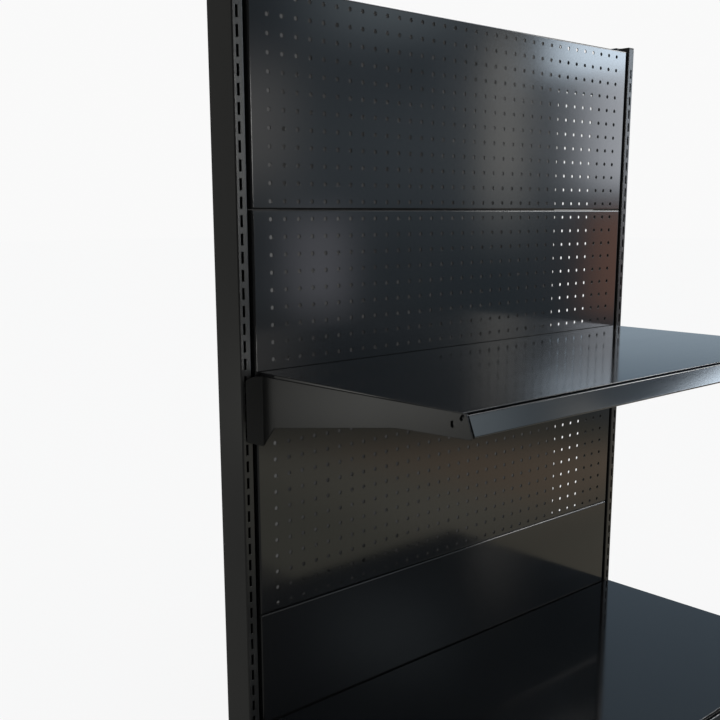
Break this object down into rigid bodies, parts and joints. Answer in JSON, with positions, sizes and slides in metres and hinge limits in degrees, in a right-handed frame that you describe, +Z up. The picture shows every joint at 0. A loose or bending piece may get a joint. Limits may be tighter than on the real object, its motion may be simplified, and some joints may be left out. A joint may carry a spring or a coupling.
{
  "type": "gondola shelving bay",
  "caption": "Single-sided black steel gondola shelving bay: slotted uprights, perforated back panels, a hooked shelf with slanted price rail, and a base deck on levelling feet.",
  "frame": {"origin": "on the floor under the middle of the bay's box", "axes": "+X to the bay's right as seen by a shopper, +Y from the shopper towards the back panels, +Z up"},
  "size_m": [0.941, 0.5268, 1.248],
  "materials": {
    "upright_paint": "semi-gloss black powder coat",
    "panel_paint": "semi-gloss black powder coat",
    "bracket_paint": "semi-gloss black powder coat",
    "deck_paint": "semi-gloss black powder coat",
    "stiffener_paint": "semi-gloss black powder coat",
    "rail_paint": "semi-gloss black powder coat",
    "base_paint": "semi-gloss black powder coat",
    "tie_paint": "semi-gloss black powder coat",
    "zinc_steel": "bright zinc plate",
    "cap_plastic": "fine moulded grain",
    "plug_plastic": "fine moulded grain",
    "pad_plastic": "fine moulded grain"
  },
  "bodies": {
    "frame": {"upright_left": "upright_paint", "upright_right": "upright_paint", "upright_cap_left": "cap_plastic", "upright_cap_right": "cap_plastic", "upright_foot_plug_left": "plug_plastic", "upright_foot_plug_right": "plug_plastic", "base_leg_left": "base_paint", "base_leg_right": "base_paint", "leg_nuts": "zinc_steel", "back_panel_plain": "panel_paint", "back_panel_lower": "panel_paint", "back_panel_middle": "panel_paint", "back_panel_top": "panel_paint", "tie_low": "tie_paint", "tie_high": "tie_paint"},
    "left_bracket": {"bracket_left": "bracket_paint"},
    "right_bracket": {"bracket_right": "bracket_paint"},
    "shelf": {"shelf_deck": "deck_paint", "shelf_stiffener": "stiffener_paint", "shelf_price_rail": "rail_paint"},
    "base_shelf": {"base_deck": "deck_paint", "base_stiffener": "stiffener_paint", "base_price_rail": "rail_paint"},
    "plinth": {"kick_plate": "base_paint"},
    "foot_front_left": {"foot_pad_front_left": "pad_plastic", "foot_screw_front_left": "zinc_steel"},
    "foot_front_right": {"foot_pad_front_right": "pad_plastic", "foot_screw_front_right": "zinc_steel"},
    "foot_rear_left": {"foot_pad_rear_left": "pad_plastic", "foot_screw_rear_left": "zinc_steel"},
    "foot_rear_right": {"foot_pad_rear_right": "pad_plastic", "foot_screw_rear_right": "zinc_steel"}
  },
  "joints": [
    {"name": "left_bracket_lift", "type": "slide", "parent": "frame", "child": "left_bracket", "axis": [0, 0, 1], "range_m": [0, 0.0075]},
    {"name": "right_bracket_lift", "type": "slide", "parent": "frame", "child": "right_bracket", "axis": [0, 0, 1], "range_m": [0, 0.0075]},
    {"name": "shelf_lift", "type": "slide", "parent": "left_bracket", "child": "shelf", "axis": [0, 0, 1], "range_m": [0, 0.12]},
    {"name": "base_shelf_lift", "type": "slide", "parent": "frame", "child": "base_shelf", "axis": [0, 0, 1], "range_m": [0, 0.12]},
    {"name": "plinth_lift", "type": "slide", "parent": "frame", "child": "plinth", "axis": [0, 0, 1], "range_m": [0, 0.0075]},
    {"name": "foot_front_left_screw", "type": "slide", "parent": "frame", "child": "foot_front_left", "axis": [0, 0, -1], "range_m": [0, 0.02]},
    {"name": "foot_front_right_screw", "type": "slide", "parent": "frame", "child": "foot_front_right", "axis": [0, 0, -1], "range_m": [0, 0.02]},
    {"name": "foot_rear_left_screw", "type": "slide", "parent": "frame", "child": "foot_rear_left", "axis": [0, 0, -1], "range_m": [0, 0.02]},
    {"name": "foot_rear_right_screw", "type": "slide", "parent": "frame", "child": "foot_rear_right", "axis": [0, 0, -1], "range_m": [0, 0.02]}
  ],
  "couplings": [
    {"joint": "right_bracket_lift", "follows": "left_bracket_lift", "ratio": 1}
  ]
}
